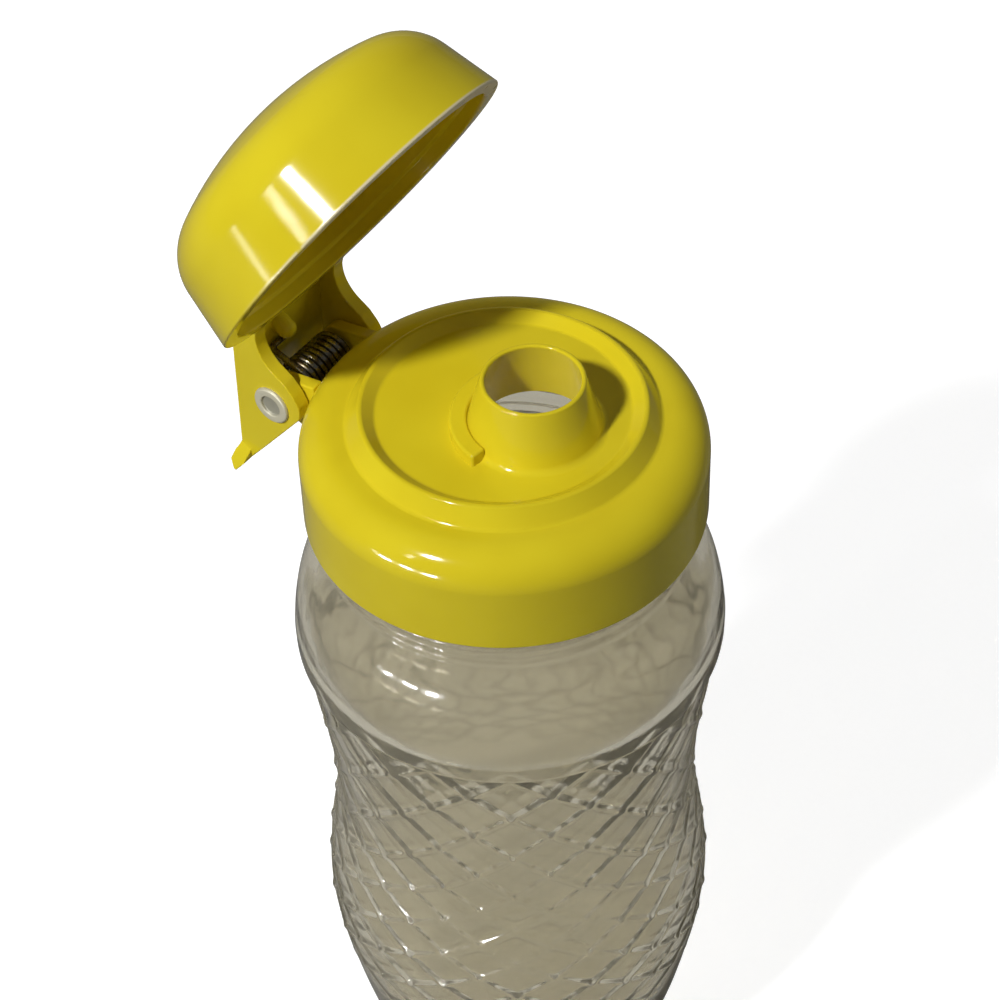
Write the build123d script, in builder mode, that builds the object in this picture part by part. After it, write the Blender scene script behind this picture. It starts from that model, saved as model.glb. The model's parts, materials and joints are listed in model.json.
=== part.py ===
"""Syrup dispenser: glass jar, screw cap with a pouring spout, and a spring-closed flip lid.

Millimetres, +Z up.  The jar stands on Z = 0 with its axis on Z.  The lid's hinge is at the
back (+Y) and the spout side faces the front (-Y).  The lid is stored partly open.

Each moulding is drawn once with the lid closed; the lid, its rivet and its peg are then
swung about the hinge line by LID_OPEN.  The lid's side profile is given in hinge
coordinates (u, v): u is the distance behind the pin, v the height above it.
"""
import os
from math import acos, atan2, cos, degrees, radians, sin, sqrt, tan

from build123d import *

os.makedirs("parts", exist_ok=True)


# ------------------------------------------------------------------ driving dimensions

# fits
RUN_CLEAR = 0.08         # lug bore over the hinge rivet
SEAT_CLEAR = 0.02        # cheek bore over the hinge rivet
SWEEP_CLEAR = 0.45       # lid over the cap's shoulder as it swings
SIDE_CLEAR = 0.30        # lid cheek beside the cap's hinge lug
SPRING_CLEAR = 0.05      # spring legs against what they push on

# glass jar
JAR_HEIGHT = 161.4
JAR_WALL = 3.0
JAR_FLOOR = 6.0
FOOT_IN_R = 18.5
FOOT_R = 22.0
FOOT_PUNT = 1.2
BELLY_R = 35.2
BELLY_Z = 50.0
WAIST_R = 32.1
WAIST_Z = 75.0
GRIP_R = 34.75
GRIP_STRAIGHT = 3.0      # upright stretch below the ledge
LEDGE_ROUND = 1.6
LEDGE_PROUD = 1.95       # how far the shoulder stands out over the grip
SHOULDER_BAND = 4.2      # ledge to where the shoulder starts to curve in
SHOULDER_H = 18.0        # from there up to the neck's root
NECK_H = 22.9
NECK_R = 29.8
NECK_WALL = 3.2
BEAD_DROP = 18.9         # the neck's bead, below the mouth
BEAD_PROUD = 1.0
BEAD_HALF_H = 1.6

# mouth seal
SEAL_T = 1.0
SEAL_OVERLAP = 1.8       # seal on the glass lip, outwards from the bore
SEAL_INSET = 1.0         # seal showing inside the bore

# screw cap
THREAD_ROOM = 1.7        # between the neck and the skirt's inside
CAP_WALL = 1.5
CAP_DRAFT = 0.1
CAP_TOP_T = 1.6
CAP_SKIRT_DROP = 17.8
SHOULDER_ROUND = 6.2
FLAT_W = 1.6             # flat between the shoulder's round and the raised ring
RING_OUT_W = 2.1         # the ring's outer slope
RING_LIP_W = 0.7
RING_IN_W = 2.0          # the ring's inner slope
RING_H = 3.0
FLOOR_RISE = 1.5

# pouring spout
SPOUT_Y = -6.0
SPOUT_H = 11.3
SPOUT_BASE_R = 10.84
SPOUT_RIM_R = 8.25
SPOUT_RIM_WALL = 0.8
SPOUT_BASE_WALL = 1.7
RIB_R = 13.3
RIB_W = 2.3
RIB_H = 2.2
RIB_HALF_DEG = 80

# hinge line, measured back from the cap's wall and down from the cap's flat
PIN_BACK = 6.03
PIN_DROP = 9.16
LID_OPEN = 57.3          # stored opening, degrees

# hinge rivet
RIVET_R = 2.3
RIVET_DISH_R = 1.9
RIVET_DISH_DEPTH = 0.7
RIVET_HEAD_R = 3.5
RIVET_HEAD_T = 0.9
RIVET_HEAD_PROUD = 0.55

# cap's hinge lugs
LUG_T = 2.4
LUG_R = 3.8
LUG_IN_X = 6.2

# lid
LID_OVERHANG = 2.6       # lid's rim outside the cap's flat
LID_DRAFT = 10.6
LID_H = 22.0
LID_CORNER_R = 10.5
DOME_R = 57.0
LID_SEAT_GAP = 0.3
LID_WALL = 2.2
RIM_W = 2.9
RIM_STEP_H = 2.6
RIM_STEP_W = 0.5
CHEEK_T = 2.55
CHEEK_NOSE_R = 6.0
LEVER_SLOPE = 30.3
LEVER_TOP_V = 8.947      # height of the lever's top line above the pin, at the pin
LEVER_END_U = 19.5
LEVER_T = 2.0
KEEL_FRONT_V = -5.2
KEEL_FRONT_U = -2.6
KEEL_BACK_V = -2.75
PAD_HALF_W = 13.9
PAD_START_U = 15.0
PAD_FLARE = 1.4
PAD_BEND_U = 15.6
PAD_LIP_V = -0.75
PAD_LIP_LEN = 1.7
PAD_TIP_V = -2.2
PAD_CORNER_R = 2.0
PEG_R = 1.7
PEG_X = -2.0
PEG_U = -4.7
PEG_END_V = 5.9

# torsion spring
WIRE_D = 1.1
COIL_MEAN_R = 3.3
COIL_HALF_W = 4.9
COIL_TURNS = 8
CAP_LEG_U = -5.7
CAP_LEG_V = -7.6
LID_LEG_V = 7.0
LID_LEG_HOOK = 4.2
LEG_BEND_R = 1.2


# ------------------------------------------------------------------ derived values

SHOULDER_R = GRIP_R + LEDGE_PROUD
NECK_ROOT_Z = JAR_HEIGHT - NECK_H
BEAD_Z = JAR_HEIGHT - BEAD_DROP
SHOULDER_Z = NECK_ROOT_Z - SHOULDER_H
LEDGE_Z = SHOULDER_Z - SHOULDER_BAND
GRIP_Z = LEDGE_Z - GRIP_STRAIGHT
MOUTH_R = NECK_R - NECK_WALL

SEAL_Z = JAR_HEIGHT
SEAL_IN_R = MOUTH_R - SEAL_INSET
SEAL_OUT_R = MOUTH_R + SEAL_OVERLAP
CAP_UNDER_Z = SEAL_Z + SEAL_T
FLAT_Z = CAP_UNDER_Z + CAP_TOP_T

CAP_IN_R = NECK_R + THREAD_ROOM
CAP_R = CAP_IN_R + CAP_WALL
SKIRT_Z = FLAT_Z - CAP_SKIRT_DROP
RING_TOP_Z = FLAT_Z + RING_H
FLOOR_Z = FLAT_Z + FLOOR_RISE
FLAT_R = CAP_R - SHOULDER_ROUND
INNER_ROUND = SHOULDER_ROUND / 2
RING_FOOT_R = FLAT_R - FLAT_W
RING_LIP_R = RING_FOOT_R - RING_OUT_W - RING_LIP_W
FLOOR_R = RING_LIP_R - RING_IN_W
LID_R = FLAT_R + LID_OVERHANG

PIN_Y = CAP_R + PIN_BACK
PIN_Z = FLAT_Z - PIN_DROP
SWING = Pos(0, PIN_Y, PIN_Z) * Rot(-LID_OPEN, 0, 0) * Pos(0, -PIN_Y, -PIN_Z)

LUG_OUT_X = LUG_IN_X + LUG_T
CHEEK_IN_X = LUG_OUT_X + SIDE_CLEAR
CHEEK_OUT_X = CHEEK_IN_X + CHEEK_T
HEAD_SEAT_X = CHEEK_OUT_X + RIVET_HEAD_PROUD - RIVET_HEAD_T

# side view in hinge coordinates: local x is u, local y is v
SIDE = Plane(origin=(0, PIN_Y, PIN_Z), x_dir=(0, 1, 0), z_dir=(1, 0, 0))

RIM_Z = FLAT_Z + LID_SEAT_GAP
RIM_V = RIM_Z - PIN_Z
LID_TOP_Z = FLAT_Z + LID_H
DOME_CENTRE_Z = LID_TOP_Z - DOME_R


def lever_top(u):
    """Height of the lever's top line above the pin."""
    return LEVER_TOP_V - u * tan(radians(LEVER_SLOPE))


def lever_under(u):
    """Height of the lever's underside above the pin."""
    return lever_top(u) - LEVER_T / cos(radians(LEVER_SLOPE))


def keel(u):
    """Height of the cheeks' bottom line above the pin."""
    run = (u - KEEL_FRONT_U) / (LEVER_END_U - KEEL_FRONT_U)
    return KEEL_FRONT_V + run * (KEEL_BACK_V - KEEL_FRONT_V)


def cup_corner(inset):
    """Where the lid's wall line meets its dome, both moved inwards by inset: (r, z)."""
    slope = tan(radians(LID_DRAFT))
    base = LID_R - inset / cos(radians(LID_DRAFT)) - (DOME_CENTRE_Z - RIM_Z) * slope
    dome = DOME_R - inset
    rise = base * slope + sqrt((base * slope) ** 2 - (1 + slope**2) * (base**2 - dome**2))
    rise = rise / (1 + slope**2)
    return base - rise * slope, DOME_CENTRE_Z + rise


def cup_wall_r(inset, z):
    """Radius of the lid's wall line, moved inwards by inset, at height z."""
    return LID_R - inset / cos(radians(LID_DRAFT)) - (z - RIM_Z) * tan(radians(LID_DRAFT))


def dome_z(inset, r):
    """Height of the lid's dome, moved inwards by inset, at radius r."""
    return DOME_CENTRE_Z + sqrt((DOME_R - inset) ** 2 - r**2)


# ------------------------------------------------------------------ glass jar

with BuildPart() as glass_jar:
    with BuildSketch(Plane.XZ) as jar_section:
        with BuildLine():
            # outside, from the foot up
            Spline(
                (FOOT_R, 0),
                (BELLY_R - 8.5, 5.4),
                (BELLY_R - 4.7, 16.8),
                (BELLY_R, BELLY_Z),
                tangents=((0.75, 0.65), (0, 1)),
            )
            Spline(
                (BELLY_R, BELLY_Z),
                (WAIST_R + 0.1, WAIST_Z),
                (WAIST_R + 0.9, WAIST_Z + 0.54 * (GRIP_Z - WAIST_Z)),
                (GRIP_R, GRIP_Z),
                tangents=((0, 1), (0, 1)),
            )
            Line((GRIP_R, GRIP_Z), (GRIP_R, LEDGE_Z))
            Line((GRIP_R, LEDGE_Z), (SHOULDER_R - LEDGE_ROUND, LEDGE_Z))
            ledge_bend = TangentArc(
                (SHOULDER_R - LEDGE_ROUND, LEDGE_Z),
                (SHOULDER_R, LEDGE_Z + LEDGE_ROUND),
                tangent=(1, 0),
            )
            Line(ledge_bend @ 1, (SHOULDER_R, SHOULDER_Z))
            Spline(
                (SHOULDER_R, SHOULDER_Z),
                (SHOULDER_R - 1.5, SHOULDER_Z + 8.5),
                (NECK_R + 3.6, NECK_ROOT_Z - 4.5),
                (NECK_R, NECK_ROOT_Z),
                tangents=((0, 1), (-0.35, 1)),
            )
            Line((NECK_R, NECK_ROOT_Z), (NECK_R, BEAD_Z - BEAD_HALF_H))
            ThreePointArc(
                (NECK_R, BEAD_Z - BEAD_HALF_H),
                (NECK_R + BEAD_PROUD, BEAD_Z),
                (NECK_R, BEAD_Z + BEAD_HALF_H),
            )
            Line((NECK_R, BEAD_Z + BEAD_HALF_H), (NECK_R, JAR_HEIGHT))
            Line((NECK_R, JAR_HEIGHT), (MOUTH_R, JAR_HEIGHT))

            # inside, from the mouth down
            Line((MOUTH_R, JAR_HEIGHT), (MOUTH_R, NECK_ROOT_Z - 1.5))
            Spline(
                (MOUTH_R, NECK_ROOT_Z - 1.5),
                (SHOULDER_R - JAR_WALL - 1.6, SHOULDER_Z + 7.5),
                (SHOULDER_R - JAR_WALL, SHOULDER_Z + 1.0),
                tangents=((0, -1), (0, -1)),
            )
            Spline(
                (SHOULDER_R - JAR_WALL, SHOULDER_Z + 1.0),
                (GRIP_R - JAR_WALL, GRIP_Z + 1.0),
                tangents=((0, -1), (0, -1)),
            )
            Spline(
                (GRIP_R - JAR_WALL, GRIP_Z + 1.0),
                (WAIST_R + 0.9 - JAR_WALL, WAIST_Z + 0.54 * (GRIP_Z - WAIST_Z)),
                (WAIST_R - JAR_WALL, WAIST_Z),
                (BELLY_R - JAR_WALL, BELLY_Z),
                tangents=((0, -1), (0, -1)),
            )
            Spline(
                (BELLY_R - JAR_WALL, BELLY_Z),
                (BELLY_R - JAR_WALL - 6.4, 13.5),
                (FOOT_IN_R, JAR_FLOOR + 1.4),
                tangents=((0, -1), (-1, -0.35)),
            )
            Spline(
                (FOOT_IN_R, JAR_FLOOR + 1.4),
                (0, JAR_FLOOR + FOOT_PUNT),
                tangents=((-1, -0.35), (-1, 0)),
            )
            Line((0, JAR_FLOOR + FOOT_PUNT), (0, FOOT_PUNT))
            Line((0, FOOT_PUNT), (FOOT_IN_R - 3.0, FOOT_PUNT))
            Line((FOOT_IN_R - 3.0, FOOT_PUNT), (FOOT_IN_R, 0))
            Line((FOOT_IN_R, 0), (FOOT_R, 0))
        make_face()
    revolve(axis=Axis.Z)
    mouth_edges = glass_jar.edges().filter_by(GeomType.CIRCLE).group_by(Axis.Z)[-1]
    outer_lip = mouth_edges.sort_by(SortBy.RADIUS)[-1]
    inner_lip = mouth_edges.sort_by(SortBy.RADIUS)[0]
    fillet(outer_lip, 1.1)
    fillet(
        glass_jar.edges().filter_by(GeomType.CIRCLE).group_by(Axis.Z)[-1].sort_by(SortBy.RADIUS)[0],
        0.4,
    )


# ------------------------------------------------------------------ mouth seal

with BuildPart() as mouth_seal:
    with BuildSketch(Plane.XY.offset(SEAL_Z)):
        Circle(SEAL_OUT_R)
        Circle(SEAL_IN_R, mode=Mode.SUBTRACT)
    extrude(amount=SEAL_T)


# ------------------------------------------------------------------ screw cap

with BuildPart() as screw_cap:
    # shell of revolution: skirt, rounded shoulder, flat, raised ring and sunk floor
    with BuildSketch(Plane.XZ) as cap_section:
        with BuildLine():
            skirt_low = (CAP_R + CAP_DRAFT, SKIRT_Z)
            skirt_high = (CAP_R, FLAT_Z - SHOULDER_ROUND)
            Line(skirt_low, skirt_high)
            shoulder_mid = (
                FLAT_R + SHOULDER_ROUND * sin(radians(45)),
                FLAT_Z - SHOULDER_ROUND + SHOULDER_ROUND * sin(radians(45)),
            )
            ThreePointArc(skirt_high, shoulder_mid, (FLAT_R, FLAT_Z))
            Polyline(
                (FLAT_R, FLAT_Z),
                (RING_FOOT_R, FLAT_Z),
                (RING_LIP_R + RING_LIP_W, RING_TOP_Z),
                (RING_LIP_R, RING_TOP_Z),
                (FLOOR_R, FLOOR_Z),
                (0, FLOOR_Z),
                (0, FLAT_Z),
                (FLOOR_R + 1.2, FLAT_Z),
                (FLOOR_R + 2.0, CAP_UNDER_Z),
                (CAP_IN_R - INNER_ROUND, CAP_UNDER_Z),
            )
            inner_mid = (
                CAP_IN_R - INNER_ROUND + INNER_ROUND * sin(radians(45)),
                CAP_UNDER_Z - INNER_ROUND + INNER_ROUND * sin(radians(45)),
            )
            ThreePointArc(
                (CAP_IN_R - INNER_ROUND, CAP_UNDER_Z),
                inner_mid,
                (CAP_IN_R, CAP_UNDER_Z - INNER_ROUND),
            )
            Line((CAP_IN_R, CAP_UNDER_Z - INNER_ROUND), (CAP_IN_R, SKIRT_Z))
            Line((CAP_IN_R, SKIRT_Z), skirt_low)
        make_face()
    revolve(axis=Axis.Z)
    ring_lip = screw_cap.edges().filter_by(GeomType.CIRCLE).group_by(Axis.Z)[-1]
    fillet(ring_lip, 0.3)

    # pouring spout with a flared foot
    with BuildSketch(Plane.YZ):
        with BuildLine():
            Polyline(
                (SPOUT_Y, FLAT_Z + 0.4),
                (SPOUT_Y + SPOUT_BASE_R + 0.9, FLAT_Z + 0.4),
                (SPOUT_Y + SPOUT_BASE_R + 0.9, FLOOR_Z),
                (SPOUT_Y + SPOUT_BASE_R - 0.2, FLOOR_Z + 0.9),
                (SPOUT_Y + SPOUT_RIM_R, FLAT_Z + SPOUT_H),
                (SPOUT_Y, FLAT_Z + SPOUT_H),
                close=True,
            )
        make_face()
    revolve(axis=Axis((0, SPOUT_Y, 0), (0, 0, 1)))

    # crescent rib behind the spout
    with BuildSketch(Plane.XY.offset(FLAT_Z + 0.4)):
        with BuildLine():
            rib_out = CenterArc((0, SPOUT_Y), RIB_R, 90 - RIB_HALF_DEG, 2 * RIB_HALF_DEG)
            rib_in = CenterArc((0, SPOUT_Y), RIB_R - RIB_W, 90 - RIB_HALF_DEG, 2 * RIB_HALF_DEG)
            Line(rib_out @ 0, rib_in @ 0)
            Line(rib_out @ 1, rib_in @ 1)
        make_face()
    extrude(amount=FLOOR_RISE - 0.4 + RIB_H)
    rib_top = screw_cap.faces().filter_by(Axis.Z)
    rib_top = rib_top.filter_by(lambda f: abs(f.center().Z - FLOOR_Z - RIB_H) < 0.01)
    fillet(rib_top.edges(), 0.4)

    # spout bore, straight through the floor
    with BuildSketch(Plane.YZ):
        with BuildLine():
            Polyline(
                (SPOUT_Y, FLAT_Z - 0.5),
                (SPOUT_Y + SPOUT_BASE_R - SPOUT_BASE_WALL, FLAT_Z - 0.5),
                (SPOUT_Y + SPOUT_BASE_R - SPOUT_BASE_WALL, FLAT_Z),
                (SPOUT_Y + SPOUT_RIM_R - SPOUT_RIM_WALL, FLAT_Z + SPOUT_H),
                (SPOUT_Y + SPOUT_RIM_R - SPOUT_RIM_WALL, FLAT_Z + SPOUT_H + 0.5),
                (SPOUT_Y, FLAT_Z + SPOUT_H + 0.5),
                close=True,
            )
        make_face()
    revolve(axis=Axis((0, SPOUT_Y, 0), (0, 0, 1)), mode=Mode.SUBTRACT)
    spout_rim = screw_cap.edges().filter_by(GeomType.CIRCLE).group_by(Axis.Z)[-1]
    fillet(spout_rim, 0.3)

    # two hinge lugs on the back of the skirt
    lug_root_y = CAP_R - CAP_WALL * 0.55
    for side in (-1, 1):
        lug_plane = SIDE.offset(side * (LUG_IN_X + LUG_T / 2))
        with BuildSketch(lug_plane):
            with BuildLine():
                root_top = (lug_root_y - PIN_Y, PIN_DROP - 4.2)
                root_low = (lug_root_y - PIN_Y, PIN_DROP - 15.2)
                root_low_in = (lug_root_y - PIN_Y + 0.2, PIN_DROP - 15.2)
                Line(root_top, (0.9, LUG_R * 0.97))
                ThreePointArc(
                    (0.9, LUG_R * 0.97),
                    (LUG_R, 0),
                    (LUG_R * 0.5, -LUG_R * 0.866),
                )
                Line((LUG_R * 0.5, -LUG_R * 0.866), root_low)
                Line(root_low, root_top)
            make_face()
        extrude(amount=LUG_T / 2, both=True)
    with BuildSketch(SIDE):
        Circle(RIVET_R + RUN_CLEAR)
    extrude(amount=LUG_OUT_X + 1, both=True, mode=Mode.SUBTRACT)


# ------------------------------------------------------------------ flip lid, drawn closed

LEVER_TOP_LINE = [
    (PAD_BEND_U, lever_top(PAD_BEND_U)),
    (LEVER_END_U - PAD_LIP_LEN, PAD_LIP_V),
    (LEVER_END_U, PAD_TIP_V),
    (LEVER_END_U, keel(LEVER_END_U)),
]
LEVER_ROOT_U = FLAT_R - 4.0 - PIN_Y

with BuildPart() as thumb_pad:
    with BuildSketch(SIDE):
        with BuildLine():
            Polyline(
                (PAD_START_U, lever_top(PAD_START_U)),
                *LEVER_TOP_LINE,
                (PAD_START_U + 1.5, keel(PAD_START_U + 1.5)),
                (PAD_START_U, lever_under(PAD_START_U)),
                close=True,
            )
        make_face()
    extrude(amount=PAD_HALF_W, both=True)
    with BuildSketch(Plane.XY.offset(PIN_Z - 10)) as pad_plan:
        with BuildLine():
            Polyline(
                (-CHEEK_OUT_X, PIN_Y + PAD_START_U),
                (-PAD_HALF_W, PIN_Y + PAD_START_U + PAD_FLARE),
                (-PAD_HALF_W, PIN_Y + LEVER_END_U),
                (PAD_HALF_W, PIN_Y + LEVER_END_U),
                (PAD_HALF_W, PIN_Y + PAD_START_U + PAD_FLARE),
                (CHEEK_OUT_X, PIN_Y + PAD_START_U),
                close=True,
            )
        make_face()
        fillet(pad_plan.vertices().group_by(Axis.Y)[-1], PAD_CORNER_R)
    extrude(amount=20, mode=Mode.INTERSECT)

with BuildPart() as lid_closed:
    # cup: drafted wall, rounded corner and shallow dome
    with BuildSketch(Plane.XZ) as cup_outside:
        with BuildLine():
            corner = cup_corner(0)
            Polyline((0, LID_TOP_Z), (0, RIM_Z), (LID_R, RIM_Z), corner)
            ThreePointArc(corner, (corner[0] / 2, dome_z(0, corner[0] / 2)), (0, LID_TOP_Z))
        make_face()
        fillet(cup_outside.vertices().sort_by_distance(corner)[0], LID_CORNER_R)
    revolve(axis=Axis.Z)

    # cheeks: side plates that carry the rivet and run back to the lever's end
    swing_u = FLAT_R - 1.5 - PIN_Y
    swing_v = PIN_DROP - SHOULDER_ROUND
    swing_r = SHOULDER_ROUND + SWEEP_CLEAR + 0.3
    front_top = (swing_u + sqrt(swing_r**2 - (RIM_V - swing_v) ** 2), RIM_V)
    front_mid = (swing_u + swing_r * cos(radians(35)), swing_v + swing_r * sin(radians(35)))
    front_low = (swing_u + swing_r, swing_v)
    nose_low = (KEEL_FRONT_U, keel(KEEL_FRONT_U))
    for side in (-1, 1):
        with BuildSketch(SIDE.offset(side * (CHEEK_IN_X + CHEEK_T / 2))):
            with BuildLine():
                ThreePointArc(front_top, front_mid, front_low)
                Spline(
                    front_low,
                    (-CHEEK_NOSE_R, -1.6),
                    (-CHEEK_NOSE_R + 1.5, -4.0),
                    nose_low,
                    tangents=((0, -1), (1, 0.05)),
                )
                Polyline(
                    nose_low,
                    *reversed(LEVER_TOP_LINE),
                    (LEVER_ROOT_U, lever_top(LEVER_ROOT_U)),
                    (LEVER_ROOT_U, RIM_V),
                    front_top,
                )
            make_face()
        extrude(amount=CHEEK_T / 2, both=True)

    # lever plate between the cheeks, then the thumb pad
    with BuildSketch(SIDE):
        with BuildLine():
            Polyline(
                (LEVER_ROOT_U, lever_top(LEVER_ROOT_U)),
                (PAD_BEND_U, lever_top(PAD_BEND_U)),
                (PAD_BEND_U, lever_under(PAD_BEND_U)),
                (LEVER_ROOT_U, lever_under(LEVER_ROOT_U)),
                close=True,
            )
        make_face()
    extrude(amount=CHEEK_IN_X + 0.5, both=True)
    add(thumb_pad.part)

    # cavity, with a step just inside the rim
    with BuildSketch(Plane.XZ) as cup_inside:
        with BuildLine():
            corner = cup_corner(LID_WALL)
            step_z = RIM_Z + RIM_STEP_H
            step_r = LID_R - RIM_W - RIM_STEP_W
            Polyline(
                (0, LID_TOP_Z - LID_WALL),
                (0, RIM_Z - 1),
                (LID_R - RIM_W, RIM_Z - 1),
                (LID_R - RIM_W, step_z - RIM_STEP_W),
                (step_r, step_z),
                (min(step_r, cup_wall_r(LID_WALL, step_z + 3.0)), step_z + 3.0),
                corner,
            )
            ThreePointArc(
                corner,
                (corner[0] / 2, dome_z(LID_WALL, corner[0] / 2)),
                (0, LID_TOP_Z - LID_WALL),
            )
        make_face()
        fillet(cup_inside.vertices().sort_by_distance(corner)[0], LID_CORNER_R - LID_WALL)
    revolve(axis=Axis.Z, mode=Mode.SUBTRACT)

    # spring peg under the lever plate
    with BuildSketch(Plane.XY.offset(PIN_Z + PEG_END_V)):
        with Locations((PEG_X, PIN_Y + PEG_U)):
            Circle(PEG_R)
    extrude(amount=lever_under(PEG_U) - PEG_END_V + 0.8)

    # rivet bore and head seats
    with BuildSketch(SIDE):
        Circle(RIVET_R + SEAT_CLEAR)
    extrude(amount=CHEEK_OUT_X + 1, both=True, mode=Mode.SUBTRACT)
    for side in (-1, 1):
        with BuildSketch(SIDE.offset(side * HEAD_SEAT_X)):
            Circle(RIVET_HEAD_R + 0.3)
        extrude(amount=side * 3, mode=Mode.SUBTRACT)

with BuildPart() as flip_lid:
    with Locations(SWING):
        add(lid_closed.part)


# ------------------------------------------------------------------ hinge rivet

with BuildPart() as hinge_rivet:
    head_out_x = CHEEK_OUT_X + RIVET_HEAD_PROUD
    with BuildSketch(SIDE):
        Circle(RIVET_R)
    extrude(amount=head_out_x, both=True)
    for side in (-1, 1):
        with BuildSketch(SIDE.offset(side * HEAD_SEAT_X)):
            Circle(RIVET_HEAD_R)
        extrude(amount=side * RIVET_HEAD_T)
    for side in (-1, 1):
        with BuildSketch(SIDE.offset(side * head_out_x)):
            Circle(RIVET_DISH_R)
        extrude(amount=-side * RIVET_DISH_DEPTH, mode=Mode.SUBTRACT)
    rims = hinge_rivet.edges().filter_by(GeomType.CIRCLE)
    rims = rims.filter_by(lambda e: abs(e.radius - RIVET_HEAD_R) < 0.01)
    outer_rims = ShapeList(rims.group_by(Axis.X)[0] + rims.group_by(Axis.X)[-1])
    fillet(outer_rims, 0.35)


# ------------------------------------------------------------------ torsion spring

LID_LEG_U = PEG_U + PEG_R + WIRE_D / 2 + SPRING_CLEAR


def leave_angle(u, v, side):
    """Angle, in degrees, where a line from (u, v) touches the coil on the given side."""
    reach = sqrt(u**2 + v**2)
    return degrees(atan2(v, u)) % 360 + side * degrees(acos(COIL_MEAN_R / reach))


lid_leg_deg = leave_angle(LID_LEG_U, LID_LEG_V, 1) - LID_OPEN
cap_leg_deg = leave_angle(CAP_LEG_U, CAP_LEG_V, -1)
lid_leg_len = sqrt(LID_LEG_U**2 + LID_LEG_V**2 - COIL_MEAN_R**2)
cap_leg_len = sqrt(CAP_LEG_U**2 + CAP_LEG_V**2 - COIL_MEAN_R**2)
coil_turns = COIL_TURNS + (cap_leg_deg - lid_leg_deg) / 360
coil_plane = Plane(
    origin=(-COIL_HALF_W, PIN_Y, PIN_Z),
    x_dir=(0, cos(radians(lid_leg_deg)), sin(radians(lid_leg_deg))),
    z_dir=(1, 0, 0),
)
coil = coil_plane.location * Helix(
    pitch=2 * COIL_HALF_W / coil_turns,
    height=2 * COIL_HALF_W,
    radius=COIL_MEAN_R,
)

with BuildLine() as wire_path:
    add(coil)
    lid_leg_tip = coil @ 0 - (coil % 0) * lid_leg_len
    lid_hook_tip = lid_leg_tip + Vector(LID_LEG_HOOK, 0, 0)
    FilletPolyline(coil @ 0, lid_leg_tip, lid_hook_tip, radius=LEG_BEND_R)
    Line(coil @ 1, coil @ 1 + (coil % 1) * cap_leg_len)

with BuildPart() as hinge_spring:
    wire = wire_path.wires()[0]
    with BuildSketch(Plane(origin=wire @ 0, z_dir=wire % 0)):
        Circle(WIRE_D / 2)
    sweep(path=wire, is_frenet=True)


# ------------------------------------------------------------------ export

glass_jar.part.label = "glass_jar"
export_step(glass_jar.part, "parts/glass_jar.step")

mouth_seal.part.label = "mouth_seal"
export_step(mouth_seal.part, "parts/mouth_seal.step")

screw_cap.part.label = "screw_cap"
export_step(screw_cap.part, "parts/screw_cap.step")

flip_lid.part.label = "flip_lid"
export_step(flip_lid.part, "parts/flip_lid.step")

hinge_rivet.part.label = "hinge_rivet"
export_step(hinge_rivet.part, "parts/hinge_rivet.step")

hinge_spring.part.label = "hinge_spring"
export_step(hinge_spring.part, "parts/hinge_spring.step")
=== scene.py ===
"""Looks for the syrup dispenser: quilted glass jar, yellow screw cap, sprung flip lid.

Shapes are drawn in millimetres from the centre of the jar's foot, +Z up, and settle()
turns them into metres.  Heights on the cap and the lid are given from the cap's flat top.
The lid is drawn shut, then swung open about its hinge pin.
"""
import json
from math import atan2, ceil, cos, degrees, pi, radians, sin, sqrt, tan

import bmesh
import bpy
from mathutils import Matrix, Vector
from mathutils.geometry import interpolate_bezier


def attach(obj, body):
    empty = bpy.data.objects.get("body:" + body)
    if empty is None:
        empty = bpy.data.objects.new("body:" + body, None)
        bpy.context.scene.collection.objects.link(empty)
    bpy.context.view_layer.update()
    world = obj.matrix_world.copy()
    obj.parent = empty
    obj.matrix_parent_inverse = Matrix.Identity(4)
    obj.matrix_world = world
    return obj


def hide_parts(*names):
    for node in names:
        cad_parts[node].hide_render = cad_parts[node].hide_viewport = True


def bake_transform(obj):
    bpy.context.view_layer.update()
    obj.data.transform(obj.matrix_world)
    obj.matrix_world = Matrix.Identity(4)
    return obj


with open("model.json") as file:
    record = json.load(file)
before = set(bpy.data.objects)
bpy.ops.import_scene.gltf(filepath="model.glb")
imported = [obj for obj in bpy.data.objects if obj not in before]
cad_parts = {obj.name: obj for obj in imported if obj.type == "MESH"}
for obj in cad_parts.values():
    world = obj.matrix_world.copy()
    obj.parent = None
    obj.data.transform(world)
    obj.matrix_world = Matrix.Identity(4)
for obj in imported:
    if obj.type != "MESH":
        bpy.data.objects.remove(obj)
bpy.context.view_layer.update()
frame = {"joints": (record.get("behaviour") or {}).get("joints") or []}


# ------------------------------------------------------------------ sizes, millimetres

MM = 0.001
joints = {joint["name"]: joint for joint in frame["joints"]}
FLAT = joints["cap_turn"]["pos_m"][2] / MM             # the cap's flat top
PIN_Y, PIN_Z = (value / MM for value in joints["lid_hinge"]["pos_m"][1:])
LID_OPEN = -joints["lid_hinge"]["range_deg"][0]        # degrees from shut to as stored

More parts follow.
